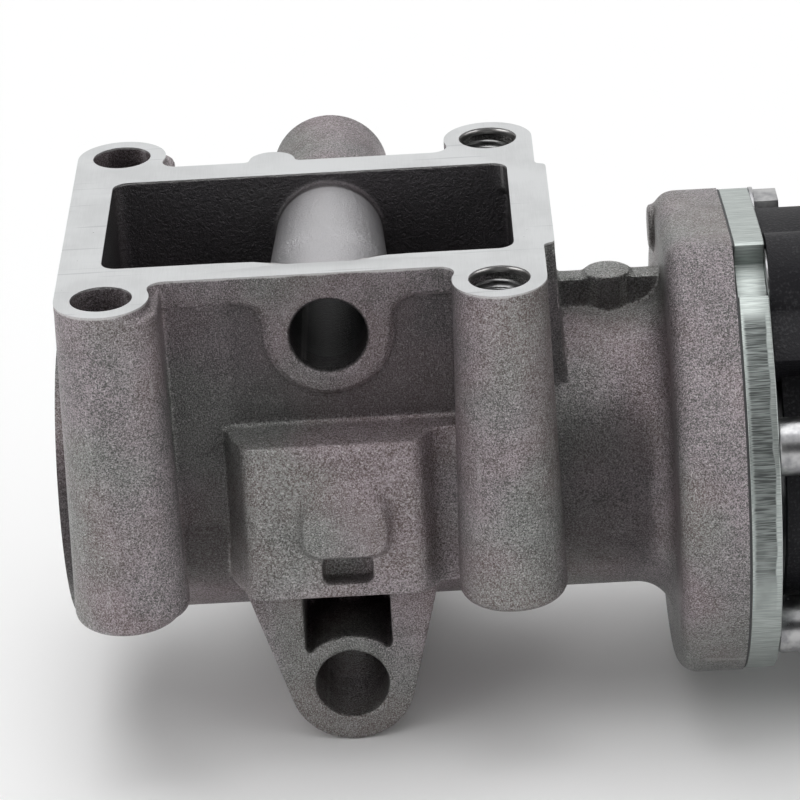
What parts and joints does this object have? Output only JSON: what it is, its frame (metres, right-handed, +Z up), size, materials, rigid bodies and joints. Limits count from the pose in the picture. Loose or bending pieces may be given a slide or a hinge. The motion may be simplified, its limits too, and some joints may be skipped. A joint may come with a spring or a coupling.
{
  "type": "exhaust gas recirculation valve",
  "caption": "Exhaust gas recirculation valve: die-cast body with a windowed outlet flange and cross-bolt bosses, and a solenoid on a steel plate that pushes the poppet off its seat.",
  "frame": {"origin": "midway between the two engine bolt holes, on the mounting faces at the back of the casting", "axes": "+X along the valve axis from the gas inlet towards the solenoid, +Y out of the mounting faces towards the engine, +Z up to the machined outlet flange"},
  "size_m": [0.1608, 0.0748, 0.0818],
  "materials": {
    "cast_aluminium": "die-cast, shot blasted, dark warm grey with machined flange",
    "zinc_plate": "zinc plated, sheared edge",
    "plated_fixings": "bright zinc plated steel",
    "hard_steel": "turned heat resistant steel",
    "stem_steel": "ground stainless steel",
    "guide_bronze": "sintered bronze",
    "spring_steel": "drawn spring wire",
    "graphite_gasket": "pressed graphite sheet",
    "magnet_iron": "soft magnetic steel, phosphated",
    "tube_brass": "drawn non-magnetic tube",
    "bobbin_plastic": "glass filled nylon",
    "coil_copper": "enamelled copper wire",
    "housing_plastic": "black glass filled plastic, fine spark texture",
    "terminal_tin": "tin plated terminals",
    "sensor_plastic": "moulded sensor body",
    "seal_rubber": "moulded nitrile rubber ring"
  },
  "bodies": {
    "casing": {"valve_body": "cast_aluminium", "seat_ring": "hard_steel", "stem_guide": "guide_bronze", "stem_shield": "hard_steel", "return_spring": "spring_steel", "flange_gasket": "graphite_gasket", "base_plate": "zinc_plate", "plate_bolts": "plated_fixings", "locating_dowel": "hard_steel", "standoff_sleeves": "plated_fixings", "solenoid_screws": "plated_fixings", "pole_piece": "magnet_iron", "yoke": "magnet_iron", "yoke_lid": "magnet_iron", "armature_tube": "tube_brass", "coil_bobbin": "bobbin_plastic", "coil_winding": "coil_copper", "actuator_housing": "housing_plastic", "connector_pins": "terminal_tin", "cover_seal": "seal_rubber", "sensor_cover": "housing_plastic", "cover_screws": "plated_fixings", "position_sensor": "sensor_plastic", "sensor_spring": "spring_steel"},
    "valve": {"poppet_valve": "stem_steel", "spring_retainer": "magnet_iron", "armature": "magnet_iron"},
    "follower": {"sensor_plunger": "stem_steel"}
  },
  "joints": [
    {"name": "valve_lift", "type": "slide", "parent": "casing", "child": "valve", "axis": [-1, 0, 0], "range_m": [0, 0.0055], "stiffness_N_per_m": 3000, "springref_m": -0.006, "deforming": ["return_spring"]},
    {"name": "follower_slide", "type": "slide", "parent": "casing", "child": "follower", "axis": [-1, 0, 0], "range_m": [0, 0.0055], "deforming": ["sensor_spring"]}
  ],
  "couplings": [
    {"joint": "follower_slide", "follows": "valve_lift", "ratio": 1}
  ]
}
